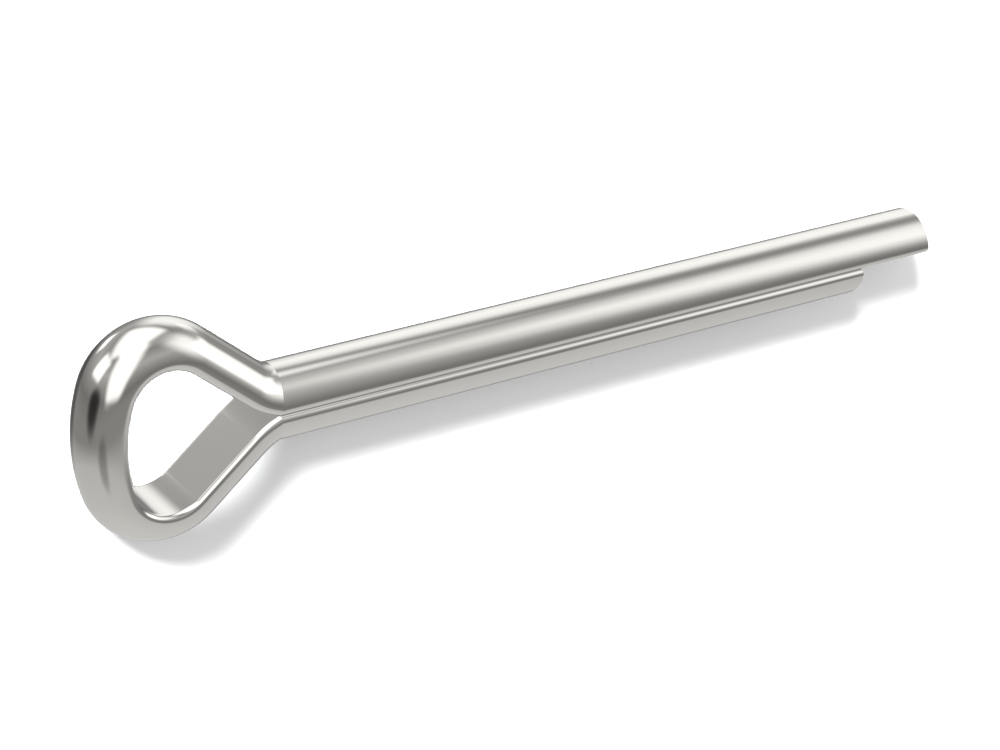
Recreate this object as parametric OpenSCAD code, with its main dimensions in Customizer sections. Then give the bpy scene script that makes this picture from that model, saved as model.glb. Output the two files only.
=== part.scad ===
// Cotter pin of half-round wire: one piece bent round an eye, with one prong left longer than the other.
// Millimetres. +X runs along the shank to the cut ends, +Y towards the long prong, +Z out of the eye's face.
// The origin is on the shank's axis at the neck, where the eye's legs close up into the two prongs.

/* [Shank] */
// Diameter over the two closed prongs
shank_d = 2.7; // [2.1:0.1:3.3]
// Short prong, from the neck to its square cut end
short_prong = 25; // [12:1:50]
// How far the long prong runs past the short one
prong_step = 3.2; // [0.8:0.2:6]
// Gap left between the two flats of the closed prongs
split_gap = 0.02; // [0.02:0.01:0.2]
// Rounding along both edges of the wire's flat
edge_r = 0.22; // [0.1:0.01:0.3]

/* [Eye] */
// Slope of each straight leg to the shank, in degrees
leg_angle = 40; // [32:1:48]
// Straight part of each leg, between the neck's bend and the shoulder
leg_l = 2.6; // [1.6:0.1:4.5]
// Inside radius where each leg turns over into the far end
shoulder_r = 1.4; // [0.9:0.1:1.9]
// Half of the arc that the flatter far end covers, in degrees
end_half_arc = 17; // [12:1:30]

/* [Neck] */
// Sharp set of the wire at the neck, where it leaves the prong, in degrees
neck_set = 22; // [8:1:28]
// Straight wire left on the round back between that set and the neck's bend
neck_land = 0.03; // [0.02:0.01:0.3]
// Radius of the neck's bend, on the flat side of the wire
neck_r = 3; // [1.8:0.1:4.4]

/* [Hidden] */
$fn = 96;
shank_r = shank_d / 2;
half_gap = split_gap / 2;
// Half the width of the flat, between the two edge roundings
flat_w = sqrt(pow(shank_r - edge_r, 2) - pow(edge_r + half_gap, 2));
// Straight wire from the set to the neck's bend on the flat side, to the next hundredth
neck_run = ceil((shank_r * tan(neck_set / 2) + neck_land) * 100) / 100;
// Centre of the neck's bend
neck_x = neck_r * sin(neck_set) - neck_run * cos(neck_set);
neck_y = half_gap + neck_r * cos(neck_set) + neck_run * sin(neck_set);
// Upper end of the straight leg, on the flat
leg_x = neck_x - neck_r * sin(leg_angle) - leg_l * cos(leg_angle);
leg_y = neck_y - neck_r * cos(leg_angle) + leg_l * sin(leg_angle);
// Centre of the shoulder's bend
shoulder_x = leg_x - shoulder_r * sin(leg_angle);
shoulder_y = leg_y - shoulder_r * cos(leg_angle);
// The far end's arc, tangent to both shoulders
end_r = shoulder_r + shoulder_y / sin(end_half_arc);
end_x = shoulder_x + (end_r - shoulder_r) * cos(end_half_arc);
// Stock left on the runs that the mitre at the neck trims back
trim = 2 * shank_r;

// A number as it reads with six figures
function six(v) = v == 0 ? 0 : let (m = pow(10, 5 - floor(log(abs(v))))) round(v * m) / m;

// Places a piece in whole microns and then the rest, so that neighbours' ends meet within a nanometre
module put(p) {
    near = [for (v = p) round(v * 1000) / 1000];
    translate(near) translate(p - near) children();
}

// Turns a piece about +Z and makes up what six figures of its sine and cosine lose, for the same reason
module turn(angle) {
    rotate([0, 0, angle]) rotate([0, 0, angle - atan2(six(sin(angle)), six(cos(angle)))]) children();
}

// Half-round section of the wire: its flat lies on x = 0 and its round back towards +x
module section() {
    reach = 2 * shank_r / (shank_r - edge_r);
    far_x = reach * (edge_r + half_gap) - half_gap;
    far_y = reach * flat_w;
    intersection() {
        translate([-half_gap, 0]) circle(r = shank_r);
        polygon([[0, -flat_w], [0, flat_w], [edge_r, flat_w], [far_x, far_y],
            [3 * shank_r, far_y], [3 * shank_r, -far_y], [far_x, -far_y], [edge_r, -flat_w]]);
    }
    for (side = [-1, 1])
        put([edge_r, side * flat_w]) circle(r = edge_r);
}

// Straight run of wire along +X, with its flat facing -Y
module straight(length) {
    rotate([90, 0, 90]) linear_extrude(height = length) section();
}

// Bend of the wire round +Z with its flat towards the centre
module bend_in(radius, from, sweep) {
    turn(from) rotate_extrude(angle = sweep) put([radius, 0]) section();
}

// Bend of the wire round +Z with its round back towards the centre
module bend_out(radius, from, sweep) {
    turn(from) rotate_extrude(angle = sweep) put([radius, 0]) mirror([1, 0]) section();
}

// Waste beyond the plane that halves the set at the neck: side 1 is the prong's side, -1 the eye's
module mitre_waste(side) {
    turn(-neck_set / 2)
        translate([(side - 1) * 4 * shank_r, -4 * shank_r, -4 * shank_r]) cube(8 * shank_r);
}

// One prong with its half of the eye, up to the hand-over to the far end
module side_run(prong) {
    translate([0, half_gap, 0]) {
        difference() {
            translate([-trim, 0, 0]) straight(prong + trim);
            mitre_waste(-1);
        }
        difference() {
            turn(-neck_set) translate([-neck_run, 0, 0]) straight(neck_run + trim);
            mitre_waste(1);
        }
    }
    put([neck_x, neck_y, 0]) bend_out(neck_r, 270 - leg_angle, leg_angle - neck_set);
    put([leg_x, leg_y, 0]) turn(-leg_angle) straight(leg_l);
    put([shoulder_x, shoulder_y, 0]) bend_in(shoulder_r, 90 - leg_angle, 90 + leg_angle - end_half_arc);
}

module cotter_pin() {
    color([0.72, 0.71, 0.69]) union() {
        side_run(short_prong + prong_step);
        mirror([0, 1, 0]) side_run(short_prong);
        put([end_x, 0, 0]) bend_in(end_r, 180 - end_half_arc, 2 * end_half_arc);
    }
}

cotter_pin();
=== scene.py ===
import math

import bmesh
import bpy
from mathutils import Matrix, Vector


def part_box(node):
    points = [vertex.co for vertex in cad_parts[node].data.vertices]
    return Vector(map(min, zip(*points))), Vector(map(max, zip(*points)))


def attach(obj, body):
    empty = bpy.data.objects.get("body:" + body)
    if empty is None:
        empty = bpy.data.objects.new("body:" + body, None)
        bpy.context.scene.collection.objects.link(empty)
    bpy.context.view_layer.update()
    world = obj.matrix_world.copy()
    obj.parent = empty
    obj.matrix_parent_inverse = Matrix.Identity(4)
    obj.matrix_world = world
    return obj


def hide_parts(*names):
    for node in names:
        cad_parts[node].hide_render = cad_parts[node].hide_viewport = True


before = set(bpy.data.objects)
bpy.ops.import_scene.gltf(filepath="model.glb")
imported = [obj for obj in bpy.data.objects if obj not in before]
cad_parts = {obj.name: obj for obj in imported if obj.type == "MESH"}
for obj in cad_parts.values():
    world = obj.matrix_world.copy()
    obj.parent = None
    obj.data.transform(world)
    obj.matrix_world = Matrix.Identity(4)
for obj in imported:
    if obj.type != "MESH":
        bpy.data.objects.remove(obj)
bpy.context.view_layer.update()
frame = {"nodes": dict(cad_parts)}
print("frame loaded:", ", ".join(frame["nodes"]))

mm = 0.001  # one millimetre in the frame's metres


def linearColour(hexCode):  # sRGB hex to the linear colour that sockets take
    parts = [int(hexCode[i:i + 2], 16) / 255 for i in (0, 2, 4)]
    return [c / 12.92 if c <= 0.04045 else ((c + 0.055) / 1.055) ** 2.4 for c in parts] + [1.0]


def addNode(tree, kind, settings=None, feeds=None):  # one node, its settings, and what goes into its sockets
    node = tree.nodes.new(kind)
    for name, value in (settings or {}).items():
        setattr(node, name, value)
    for socket, feed in (feeds or {}).items():
        if isinstance(feed, bpy.types.NodeSocket):
            tree.links.new(feed, node.inputs[socket])
        else:
            node.inputs[socket].default_value = feed
    return node


# Camera: the pin lies flat, so the camera stands over it and is turned as the photograph is
view = {
    "aim": (9.455, -1.256, 0.0),  # mm, the point at the middle of the frame
    "distance": 91.2,  # mm
    "yaw": 33.533,  # degrees, about the pin's own Y
    "pitch": 25.644,  # degrees
    "roll": -1.573,  # degrees
    "lens": 92.476,  # mm
    "sensor": 36.0,  # mm wide
    "nearest": 1.0,  # mm, what is closer isn't drawn
    "farthest": 10.0,  # m
}


def makeCamera(v):
    turn = Matrix.Rotation(-math.radians(v["yaw"]), 3, "Y")
    turn = turn @ Matrix.Rotation(-math.radians(v["pitch"]), 3, "X")
    turn = turn @ Matrix.Rotation(-math.radians(v["roll"]), 3, "Z")
    data = bpy.data.cameras.new("camera")
    data.lens = v["lens"]
    data.sensor_width = v["sensor"]
    data.clip_start = v["nearest"] * mm
    data.clip_end = v["farthest"]
    camera = bpy.data.objects.new("camera", data)
    place = (Vector(v["aim"]) + turn @ Vector((0, 0, v["distance"]))) * mm
    camera.matrix_world = Matrix.Translation(place) @ turn.to_4x4()
    bpy.context.scene.collection.objects.link(camera)
    bpy.context.scene.camera = camera


makeCamera(view)
print("camera set")


# The wire: half-round, flat side inwards, in the sizes of the CAD part (mm and degrees)
wire = {
    "shankDiameter": 2.7,  # over both closed prongs
    "shortProng": 25.0,  # from the neck to its cut end
    "prongStep": 3.2,  # how far the long prong runs past the short one
    "splitGap": 0.02,  # between the two flats
    "edgeRadius": 0.22,  # along both edges of the flat
    "legAngle": 40.0,
    "legLength": 2.6,  # straight part of each leg
    "shoulderRadius": 1.4,  # on the flat
    "endHalfArc": 17.0,  # half of the flatter far end
    "neckSet": 22.0,  # sharp set where the wire leaves the prong
    "neckRun": 0.3,  # straight wire between that set and the neck's bend
    "neckRadius": 3.0,  # on the flat
    "bendStep": 1.5,  # degrees of bend between two rings
    "sectionPoints": 144,  # points round one ring
    "mitreFrom": 1.001,  # a ring that is stretched more than this lies on the sharp set
}


def onCircle(angle):
    return Vector((math.cos(angle), math.sin(angle), 0))


def mirrored(v):  # across the shank, to the short prong's side
    return Vector((v.x, -v.y, v.z))


def arcStations(centre, radius, start, stop, step):  # points on an arc of the flat, each with its direction
    count = max(2, math.ceil(abs(stop - start) / step))
    stations = []
    for i in range(count + 1):
        out = onCircle(math.radians(start + (stop - start) * i / count))
        stations.append((centre + radius * out, out))
    return stations


def wireStations(w):  # (point on the flat, direction of the round back, stretch at a mitre), from tip to tip
    gap = w["splitGap"] / 2
    neckSet, leg = math.radians(w["neckSet"]), math.radians(w["legAngle"])
    endArc = math.radians(w["endHalfArc"])
    outward = lambda a: Vector((math.sin(a), math.cos(a), 0))
    along = lambda a: Vector((-math.cos(a), math.sin(a), 0))
    neck = Vector((0, gap, 0))
    bendStart = neck + w["neckRun"] * along(neckSet)
    bendCentre = bendStart + w["neckRadius"] * outward(neckSet)
    legEnd = bendCentre - w["neckRadius"] * outward(leg) + w["legLength"] * along(leg)
    shoulder = legEnd - w["shoulderRadius"] * outward(leg)
    endRadius = w["shoulderRadius"] + shoulder.y / math.sin(endArc)
    endCentre = Vector((shoulder.x + (endRadius - w["shoulderRadius"]) * math.cos(endArc), 0, 0))

    # Half of the wire, from the neck to the middle of the far end
    step = w["bendStep"]
    handOver = 180 - w["endHalfArc"]
    half = [(neck, outward(neckSet / 2), 1 / math.cos(neckSet / 2))]
    for point, out in arcStations(bendCentre, w["neckRadius"], 270 - w["neckSet"], 270 - w["legAngle"], step):
        half.append((point, -out, 1.0))
    for point, out in arcStations(shoulder, w["shoulderRadius"], 90 - w["legAngle"], handOver, step):
        half.append((point, out, 1.0))
    for point, out in arcStations(endCentre, endRadius, handOver, 180, step)[1:]:
        half.append((point, out, 1.0))

    tip = Vector((w["shortProng"] + w["prongStep"], gap, 0))
    stations = [(tip, Vector((0, 1, 0)), 1.0)] + half
    stations += [(mirrored(p), mirrored(d), s) for p, d, s in reversed(half[:-1])]
    stations.append((Vector((w["shortProng"], -gap, 0)), Vector((0, -1, 0)), 1.0))
    return stations


def makePath(w):  # the flat's centre line as a bare line of edges, with what the sweep needs at each point
    stations = wireStations(w)
    mesh = bpy.data.meshes.new("wirePath")
    points = [p * mm for p, d, s in stations]
    mesh.from_pydata(points, [(i, i + 1) for i in range(len(points) - 1)], [])
    run = [0.0]
    for a, b in zip(points, points[1:]):
        run.append(run[-1] + (b - a).length)
    values = {
        "back": [c for p, d, s in stations for c in d],
        "stretch": [s for p, d, s in stations],
        "along": run,
    }
    for name in values:  # all are made before any is filled, because a new one moves the others
        mesh.attributes.new(name, "FLOAT_VECTOR" if name == "back" else "FLOAT", "POINT")
    for name, numbers in values.items():
        mesh.attributes[name].data.foreach_set("vector" if name == "back" else "value", numbers)
    path = bpy.data.objects.new("wirePath", mesh)
    bpy.context.scene.collection.objects.link(path)
    return path


def makeSweepTree():  # sweeps a rounded half-round section along the path
    tree = bpy.data.node_groups.new("halfRoundSweep", "GeometryNodeTree")
    sockets = tree.interface
    sockets.new_socket("Path", in_out="INPUT", socket_type="NodeSocketGeometry")
    for name in ("Wire Radius", "Edge Radius", "Split Gap"):
        sockets.new_socket(name, in_out="INPUT", socket_type="NodeSocketFloat")
    sockets.new_socket("Section Points", in_out="INPUT", socket_type="NodeSocketInt")
    sockets.new_socket("Metal", in_out="INPUT", socket_type="NodeSocketMaterial")
    sockets.new_socket("Wire", in_out="OUTPUT", socket_type="NodeSocketGeometry")
    inputs = addNode(tree, "NodeGroupInput").outputs
    edge = inputs["Edge Radius"]

    # Section: the angle runs once round, the round back is a clamped arc, and the edge radius is added to it
    line = addNode(tree, "GeometryNodeCurvePrimitiveLine")
    line = addNode(tree, "GeometryNodeResampleCurve",
                   feeds={"Curve": line.outputs[0], "Count": inputs["Section Points"]})
    place = addNode(tree, "GeometryNodeSplineParameter").outputs["Factor"]
    angle = addNode(tree, "ShaderNodeMapRange",
                    feeds={"Value": place, "To Min": -math.pi, "To Max": math.pi}).outputs[0]
    halfGap = addNode(tree, "ShaderNodeMath", {"operation": "MULTIPLY"},
                      {0: inputs["Split Gap"], 1: 0.5}).outputs[0]
    core = addNode(tree, "ShaderNodeMath", {"operation": "SUBTRACT"},
                   {0: inputs["Wire Radius"], 1: edge}).outputs[0]
    rise = addNode(tree, "ShaderNodeMath", {"operation": "ADD"}, {0: edge, 1: halfGap}).outputs[0]
    share = addNode(tree, "ShaderNodeMath", {"operation": "DIVIDE"}, {0: rise, 1: core}).outputs[0]
    reach = addNode(tree, "ShaderNodeMath", {"operation": "ARCCOSINE"}, {0: share}).outputs[0]
    minus = addNode(tree, "ShaderNodeMath", {"operation": "MULTIPLY"}, {0: reach, 1: -1.0}).outputs[0]
    arc = addNode(tree, "ShaderNodeClamp", feeds={"Value": angle, "Min": minus, "Max": reach}).outputs[0]
    sides = {}
    for axis, operation in (("X", "COSINE"), ("Y", "SINE")):
        onArc = addNode(tree, "ShaderNodeMath", {"operation": operation}, {0: arc}).outputs[0]
        onEdge = addNode(tree, "ShaderNodeMath", {"operation": operation}, {0: angle}).outputs[0]
        onEdge = addNode(tree, "ShaderNodeMath", {"operation": "MULTIPLY"}, {0: onEdge, 1: edge}).outputs[0]
        sides[axis] = addNode(tree, "ShaderNodeMath", {"operation": "MULTIPLY_ADD"},
                              {0: onArc, 1: core, 2: onEdge}).outputs[0]
    sides["X"] = addNode(tree, "ShaderNodeMath", {"operation": "SUBTRACT"},
                         {0: sides["X"], 1: halfGap}).outputs[0]
    spot = addNode(tree, "ShaderNodeCombineXYZ", feeds=sides).outputs[0]
    section = addNode(tree, "GeometryNodeSetPosition", feeds={"Geometry": line.outputs[0], "Position": spot})
    section = addNode(tree, "GeometryNodeSetSplineCyclic",
                      feeds={"Geometry": section.outputs[0], "Cyclic": True})
    where = addNode(tree, "GeometryNodeInputPosition").outputs[0]
    section = addNode(tree, "GeometryNodeStoreNamedAttribute", {"data_type": "FLOAT_VECTOR"},
                      {"Geometry": section.outputs[0], "Name": "section", "Value": where})

    # Path: its points carry the direction of the round back, and keep their own place for the mitres
    path = addNode(tree, "GeometryNodeMeshToCurve", feeds={"Mesh": inputs["Path"]})
    stored = {}
    for name, kind in (("back", "FLOAT_VECTOR"), ("centre", "FLOAT_VECTOR"), ("stretch", "FLOAT"),
                       ("along", "FLOAT"), ("section", "FLOAT_VECTOR")):
        stored[name] = addNode(tree, "GeometryNodeInputNamedAttribute", {"data_type": kind},
                               {"Name": name}).outputs[0]
    path = addNode(tree, "GeometryNodeSetCurveNormal", {"mode": "FREE"},
                   {"Curve": path.outputs[0], "Normal": stored["back"]})
    path = addNode(tree, "GeometryNodeStoreNamedAttribute", {"data_type": "FLOAT_VECTOR"},
                   {"Geometry": path.outputs[0], "Name": "centre", "Value": where})
    body = addNode(tree, "GeometryNodeCurveToMesh",
                   feeds={"Curve": path.outputs[0], "Profile Curve": section.outputs[0], "Fill Caps": True})

    # Mitres: a ring on a sharp set is stretched away from the flat, so both straight runs keep their section
    fromFlat = addNode(tree, "ShaderNodeVectorMath", {"operation": "SUBTRACT"},
                       {0: where, 1: stored["centre"]}).outputs[0]
    height = addNode(tree, "ShaderNodeVectorMath", {"operation": "DOT_PRODUCT"},
                     {0: fromFlat, 1: stored["back"]}).outputs["Value"]
    extra = addNode(tree, "ShaderNodeMath", {"operation": "SUBTRACT"},
                    {0: stored["stretch"], 1: 1.0}).outputs[0]
    extra = addNode(tree, "ShaderNodeMath", {"operation": "MULTIPLY"}, {0: extra, 1: height}).outputs[0]
    shift = addNode(tree, "ShaderNodeVectorMath", {"operation": "SCALE"},
                    {0: stored["back"], "Scale": extra}).outputs[0]
    body = addNode(tree, "GeometryNodeSetPosition", feeds={"Geometry": body.outputs[0], "Offset": shift})

    # Drawing direction for the material: the length along the wire, then the two directions of its section
    inSection = addNode(tree, "ShaderNodeSeparateXYZ", feeds={0: stored["section"]}).outputs
    grain = addNode(tree, "ShaderNodeCombineXYZ",
                    feeds={"X": stored["along"], "Y": inSection["X"], "Z": inSection["Y"]}).outputs[0]
    body = addNode(tree, "GeometryNodeStoreNamedAttribute", {"data_type": "FLOAT_VECTOR"},
                   {"Geometry": body.outputs[0], "Name": "grain", "Value": grain})
    body = addNode(tree, "GeometryNodeRealizeInstances", feeds={"Geometry": body.outputs[0]})
    body = addNode(tree, "GeometryNodeSetMaterial",
                   feeds={"Geometry": body.outputs[0], "Material": inputs["Metal"]})
    addNode(tree, "NodeGroupOutput", feeds={"Wire": body.outputs[0]})
    return tree


def makePin(w, metal):
    path = makePath(w)
    sweep = path.modifiers.new("sweep", "NODES")
    sweep.node_group = makeSweepTree()
    sizes = {
        "Wire Radius": w["shankDiameter"] / 2 * mm,
        "Edge Radius": w["edgeRadius"] * mm,
        "Split Gap": w["splitGap"] * mm,
        "Section Points": w["sectionPoints"],
        "Metal": metal,
    }
    for socket in sweep.node_group.interface.items_tree:
        if socket.name in sizes:
            sweep[socket.identifier] = sizes[socket.name]
    depsgraph = bpy.context.evaluated_depsgraph_get()
    mesh = bpy.data.meshes.new_from_object(path.evaluated_get(depsgraph))
    bpy.data.objects.remove(path)
    pin = bpy.data.objects.new("cotterPin", mesh)
    bpy.context.scene.collection.objects.link(pin)

    edit = bmesh.new()
    edit.from_mesh(mesh)
    bmesh.ops.recalc_face_normals(edit, faces=edit.faces)
    stretch = edit.verts.layers.float["stretch"]
    sheared = edit.faces.layers.float.new("sheared")
    for facet in edit.faces:
        facet.smooth = len(facet.verts) == 4  # the two cut ends stay flat
        facet[sheared] = 0.0 if facet.smooth else 1.0
    for edge in edit.edges:
        onSet = all(v[stretch] > w["mitreFrom"] for v in edge.verts)
        onCut = any(len(f.verts) > 4 for f in edge.link_faces)
        edge.smooth = not (onSet or onCut)
    edit.to_mesh(mesh)
    edit.free()
    for name in ("back", "stretch", "along", "centre", "section"):
        if name in mesh.attributes:
            mesh.attributes.remove(mesh.attributes[name])
    even = pin.modifiers.new("even", "WEIGHTED_NORMAL")  # keeps the flat's shading flat up to its edges
    even.keep_sharp = True
    even.weight = 100
    depsgraph = bpy.context.evaluated_depsgraph_get()
    finished = bpy.data.meshes.new_from_object(pin.evaluated_get(depsgraph))
    pin.modifiers.clear()
    pin.data = finished
    return pin


# Drawn stainless steel wire, bent and then barrel polished: a bright, slightly warm mirror with faint lines
# along the draw, dull on the two sheared ends, and with painted shade that darkens its colour in the split
# and crevices
steel = {
    "colour": "d4d2cd",
    "roughness": 0.09,
    "roughnessSpread": 0.02,  # how far the draw lines and the polish move it each way
    "noiseSpan": (0.7, 1.3),  # of the lines and the clouds added up, which covers that spread
    "lineWidth": 0.09,  # mm across one draw line, drawn coarser than the real ones so that they show
    "lineLength": 9.0,  # mm along it
    "lineDepth": 0.0006,  # mm
    "patchSize": 2.5,  # mm, clouds left by the barrel polish
    "paintedShadeReach": 0.06,  # mm from a facing surface within which the colour is darkened as painted shade
    "paintedShadeSamples": 8,
    "shearedRoughness": 0.38,  # on the two cut ends
    "shearedDepth": 0.012,  # mm, torn grain on the cut ends
}


def makeSteel(s):
    material = bpy.data.materials.new("drawnStainlessSteel")
    material.use_nodes = True
    tree = material.node_tree
    shader = tree.nodes["Principled BSDF"]
    shader.inputs["Base Color"].default_value = linearColour(s["colour"])
    shader.inputs["Metallic"].default_value = 1.0
    # Painted shade: ambient occlusion darkens the base colour in the split and the crevice at the neck
    paintedShade = addNode(tree, "ShaderNodeAmbientOcclusion", {"samples": s["paintedShadeSamples"]},
                   {"Color": linearColour(s["colour"]), "Distance": s["paintedShadeReach"] * mm})
    tree.links.new(paintedShade.outputs["Color"], shader.inputs["Base Color"])

    # Draw lines run along the wire and polish clouds lie over it; both move the roughness a little
    grain = addNode(tree, "ShaderNodeAttribute", {"attribute_name": "grain"}).outputs["Vector"]
    across = 1 / (s["lineWidth"] * mm)
    drawn = addNode(tree, "ShaderNodeMapping",
                    feeds={"Vector": grain, "Scale": (1 / (s["lineLength"] * mm), across, across)})
    lines = addNode(tree, "ShaderNodeTexNoise",
                    feeds={"Vector": drawn.outputs[0], "Scale": 1.0, "Detail": 3.0})
    spot = addNode(tree, "ShaderNodeTexCoord").outputs["Object"]
    clouds = addNode(tree, "ShaderNodeTexNoise",
                     feeds={"Vector": spot, "Scale": 1 / (s["patchSize"] * mm), "Detail": 2.0})
    mixed = addNode(tree, "ShaderNodeMath", {"operation": "ADD"},
                    {0: lines.outputs["Fac"], 1: clouds.outputs["Fac"]})
    rough = addNode(tree, "ShaderNodeMapRange", feeds={
        "Value": mixed.outputs[0], "From Min": s["noiseSpan"][0], "From Max": s["noiseSpan"][1],
        "To Min": s["roughness"] - s["roughnessSpread"], "To Max": s["roughness"] + s["roughnessSpread"]})

    # The sheared ends are rougher, with deeper grain
    sheared = addNode(tree, "ShaderNodeAttribute", {"attribute_name": "sheared"}).outputs["Fac"]
    rough = addNode(tree, "ShaderNodeMix",
                    feeds={"Factor": sheared, "A": rough.outputs[0], "B": s["shearedRoughness"]})
    tree.links.new(rough.outputs[0], shader.inputs["Roughness"])
    depth = addNode(tree, "ShaderNodeMix",
                    feeds={"Factor": sheared, "A": s["lineDepth"] * mm, "B": s["shearedDepth"] * mm})
    bump = addNode(tree, "ShaderNodeBump",
                   feeds={"Height": lines.outputs["Fac"], "Distance": depth.outputs[0]})
    tree.links.new(bump.outputs[0], shader.inputs["Normal"])
    return material


pin = makePin(wire, makeSteel(steel))
pin.visible_glossy = False  # the photograph's pin mirrors the studio and not itself
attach(pin, "root")
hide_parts("cotter_pin")
print("pin swept:", len(pin.data.polygons), "faces")


# Studio: a pale floor under the lying pin, and softboxes where the photograph's reflections show them.
# A direction is degrees round from the eye's face (+Z towards +X) and degrees up from the shank (towards +Y).
studio = {
    "floorSize": 4.0,  # m
    "floorColour": "fafafa",
    "floorRoughness": 0.9,
    "boxDistance": 1.5,  # m from the pin to each softbox
    "boxes": {  # round, up, width, height, soft share at the sides, soft share at top and bottom, brightness
        "top": (-140, 79, 70, 64, 0.22, 0.24, 1.25),
        "faceLeft": (-39, 36, 55, 90, 0.27, 0.18, 1.30),
        "eyeEnd": (-107, 33, 42, 35, 0.25, 0.25, 1.35),
        "backLeft": (-168, 22, 24, 17, 0.30, 0.30, 1.40),
        "faceRight": (60, 32, 56, 73, 0.40, 0.40, 0.95),
        "lowRight": (77, 17, 48, 30, 0.24, 0.32, 1.15),
        "backRight": (141, 27, 53, 66, 0.40, 0.32, 0.85),
        "streak": (117, 31, 25, 21, 0.40, 0.26, 0.55),
    },
    "key": (-44, 44, 10, 10, 0.0, 0.0, 240.0),  # lights the floor and casts the shadow, but isn't mirrored
    "snoot": {  # a narrow light through the eye, which keeps the floor inside it white
        "aim": (-3.2, 0.0, 0.0),  # mm, the middle of the eye
        "from": (-25.5, 26.7),  # round, up
        "distance": 0.3,  # m
        "width": 6.0,  # mm across the light's patch
        "soft": 0.35,  # share of the patch that fades
        "lampRadius": 1.0,  # mm
        "power": 9.0,  # W
    },
    "walls": [  # height from straight down to straight up, brightness
        (0.0, 0.80), (0.235, 0.66), (0.31, 0.32), (0.38, 0.32), (0.475, 0.24),
        (0.605, 0.38), (0.75, 0.58), (0.91, 0.35), (1.0, 0.70),
    ],
    "flags": {  # black cards: round, up, dark within, fades out by, how much darker
        "eyeEnd": (-86, -3, 6, 20, 0.85),
        "backLeft": (-172, -12, 8, 22, 0.60),
        "lowBack": (140, -32, 6, 22, 0.45),
        "lowFace": (-52, -30, 3, 14, 0.45),
    },
}


def directionOf(swung, up):
    turned, raised = math.radians(swung), math.radians(up)
    level = math.cos(raised)
    return Vector((level * math.sin(turned), math.sin(raised), level * math.cos(turned)))


def makeFloor(s):
    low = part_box("cotter_pin")[0][2]
    half = s["floorSize"] / 2
    corners = [(-half, -half, low), (half, -half, low), (half, half, low), (-half, half, low)]
    mesh = bpy.data.meshes.new("floor")
    mesh.from_pydata(corners, [], [(0, 1, 2, 3)])
    floor = bpy.data.objects.new("floor", mesh)
    bpy.context.scene.collection.objects.link(floor)
    paint = bpy.data.materials.new("mattFloorPaint")  # a plain white ground that only takes the shadow
    paint.use_nodes = True
    shader = paint.node_tree.nodes["Principled BSDF"]
    shader.inputs["Base Color"].default_value = linearColour(s["floorColour"])
    shader.inputs["Roughness"].default_value = s["floorRoughness"]
    mesh.materials.append(paint)
    floor.visible_glossy = False  # the pin mirrors the studio alone, as it does in the photograph


def makeLight(name, s, swung, up, width, height, softSides, softEnds, brightness):
    away = directionOf(swung, up)
    right = Vector((math.cos(math.radians(swung)), 0, -math.sin(math.radians(swung))))
    data = bpy.data.lights.new(name, "AREA")
    data.shape = "RECTANGLE"
    data.size = 2 * s["boxDistance"] * math.tan(math.radians(width / 2))
    data.size_y = 2 * s["boxDistance"] * math.tan(math.radians(height / 2))
    data.energy = brightness * math.pi * data.size * data.size_y
    light = bpy.data.objects.new(name, data)
    turn = Matrix((right, away.cross(right), away)).transposed()
    light.matrix_world = Matrix.Translation(away * s["boxDistance"]) @ turn.to_4x4()
    light.visible_camera = False
    bpy.context.scene.collection.objects.link(light)
    if softSides:  # the cloth of a softbox fades towards its frame
        data.use_nodes = True
        tree = data.node_tree
        across = addNode(tree, "ShaderNodeNewGeometry").outputs["Parametric"]
        across = addNode(tree, "ShaderNodeSeparateXYZ", feeds={0: across}).outputs
        fade = 1.0
        for axis, soft in (("X", softSides), ("Y", softEnds)):
            inward = addNode(tree, "ShaderNodeMath", {"operation": "PINGPONG"}, {0: across[axis], 1: 0.5})
            inward = addNode(tree, "ShaderNodeMapRange", {"interpolation_type": "SMOOTHSTEP"},
                             {"Value": inward.outputs[0], "From Max": soft})
            fade = addNode(tree, "ShaderNodeMath", {"operation": "MULTIPLY"},
                           {0: fade, 1: inward.outputs[0]}).outputs[0]
        tree.links.new(fade, tree.nodes["Emission"].inputs["Strength"])
    return light


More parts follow.
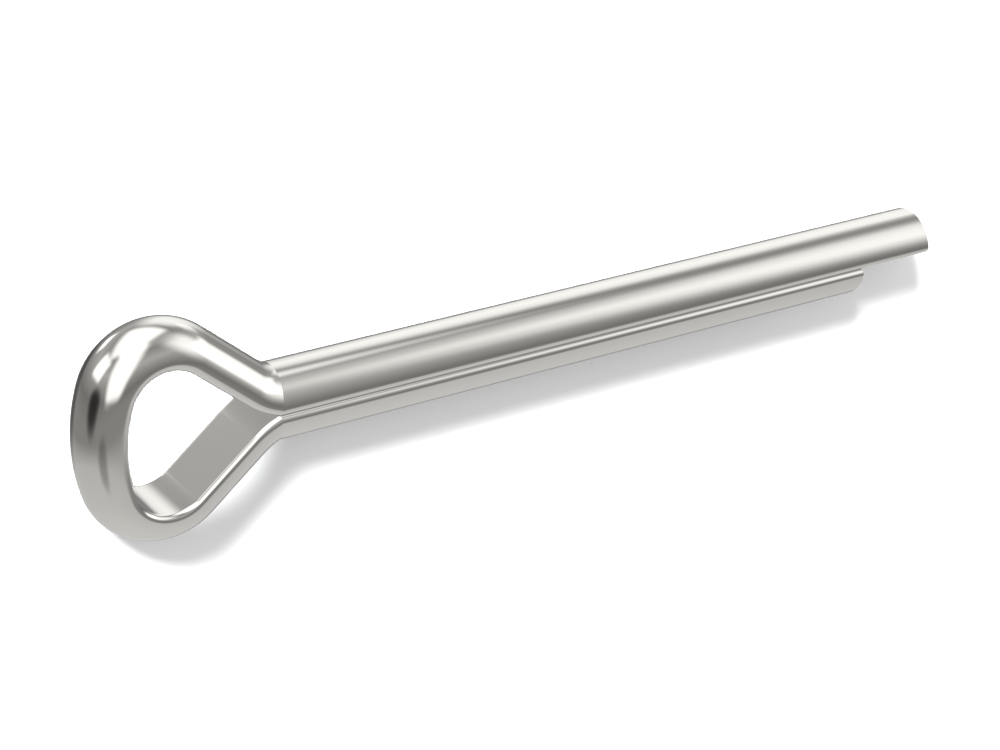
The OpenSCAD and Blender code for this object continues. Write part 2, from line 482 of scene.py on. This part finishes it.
def makeSnoot(s):
    data = bpy.data.lights.new("snoot", "SPOT")
    data.energy = s["power"]
    data.spot_size = 2 * math.atan(s["width"] / 2 * mm / s["distance"])
    data.spot_blend = s["soft"]
    data.shadow_soft_size = s["lampRadius"] * mm
    away = directionOf(*s["from"])
    light = bpy.data.objects.new("snoot", data)
    place = Vector(s["aim"]) * mm + away * s["distance"]
    light.matrix_world = Matrix.Translation(place) @ away.to_track_quat("Z", "Y").to_matrix().to_4x4()
    light.visible_glossy = False
    bpy.context.scene.collection.objects.link(light)


def makeRoom(s):  # the studio's walls: paler below the shank, dark at its height, darker still at the flags
    world = bpy.data.worlds.new("studio")
    bpy.context.scene.world = world
    world.use_nodes = True
    tree = world.node_tree
    direction = addNode(tree, "ShaderNodeTexCoord").outputs["Generated"]
    parts = addNode(tree, "ShaderNodeSeparateXYZ", feeds={0: direction}).outputs
    height = addNode(tree, "ShaderNodeMapRange", feeds={"Value": parts["Y"], "From Min": -1.0})
    ramp = addNode(tree, "ShaderNodeValToRGB", feeds={0: height.outputs[0]})
    steps = ramp.color_ramp.elements
    while len(steps) < len(s["walls"]):
        steps.new(1.0)
    for step, (place, value) in zip(steps, s["walls"]):
        step.position = place
        step.color = (value, value, value, 1)
    light = 1.0
    for swung, up, inner, outer, amount in s["flags"].values():
        near = addNode(tree, "ShaderNodeVectorMath", {"operation": "DOT_PRODUCT"},
                       {0: direction, 1: directionOf(swung, up)})
        fade = addNode(tree, "ShaderNodeMapRange", {"interpolation_type": "SMOOTHSTEP"},
                       {"Value": near.outputs["Value"], "From Min": math.cos(math.radians(outer)),
                        "From Max": math.cos(math.radians(inner)), "To Min": 1.0, "To Max": 1 - amount})
        light = addNode(tree, "ShaderNodeMath", {"operation": "MULTIPLY"},
                        {0: light, 1: fade.outputs[0]}).outputs[0]
    tree.links.new(ramp.outputs[0], tree.nodes["Background"].inputs["Color"])
    tree.links.new(light, tree.nodes["Background"].inputs["Strength"])


makeFloor(studio)
for name, box in studio["boxes"].items():
    makeLight(name, studio, *box)
key = makeLight("key", studio, *studio["key"])
key.visible_glossy = False
makeSnoot(studio["snoot"])
makeRoom(studio)
bpy.context.scene.view_settings.view_transform = "Standard"
print("studio set:", len(studio["boxes"]) + 2, "lights")
